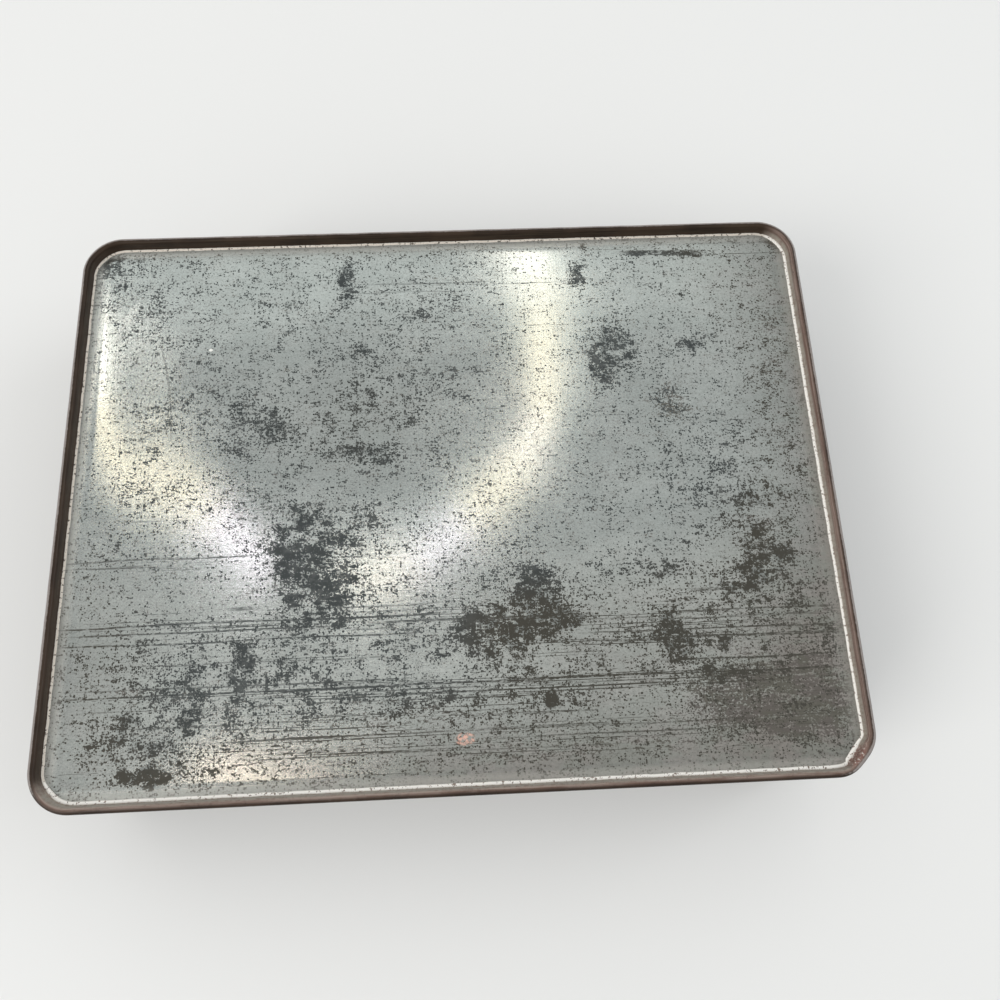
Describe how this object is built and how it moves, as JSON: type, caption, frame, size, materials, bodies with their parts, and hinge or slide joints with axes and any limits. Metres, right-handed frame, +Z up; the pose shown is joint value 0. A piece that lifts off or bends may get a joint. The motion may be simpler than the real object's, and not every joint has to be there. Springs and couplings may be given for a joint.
{
  "type": "toffee tin",
  "caption": "Flat rectangular sweet tin with rounded corners, shut, lying on its push-on lid with the bare metal base up, sunk inside a narrow folded rim.",
  "frame": {"origin": "middle of the flat face that the tin rests on, the raised field of its lid", "axes": "+X along the tin's length, +Y along its width, +Z up, out of the base panel"},
  "size_m": [0.2522, 0.1922, 0.06],
  "materials": {
    "brown_lacquer": "dark brown lacquer on tinplate, half gloss, worn to bare metal along the crest of the rim",
    "bare_tinplate": "bare tinplate, dull, rubbed, speckled and stained dark where the tin has worn off",
    "lid_lacquer": "dark brown lacquer on tinplate, half gloss, rubbed along the edges"
  },
  "bodies": {
    "root": {"body": "brown_lacquer", "base_panel": "bare_tinplate", "lid": "lid_lacquer"}
  },
  "joints": []
}
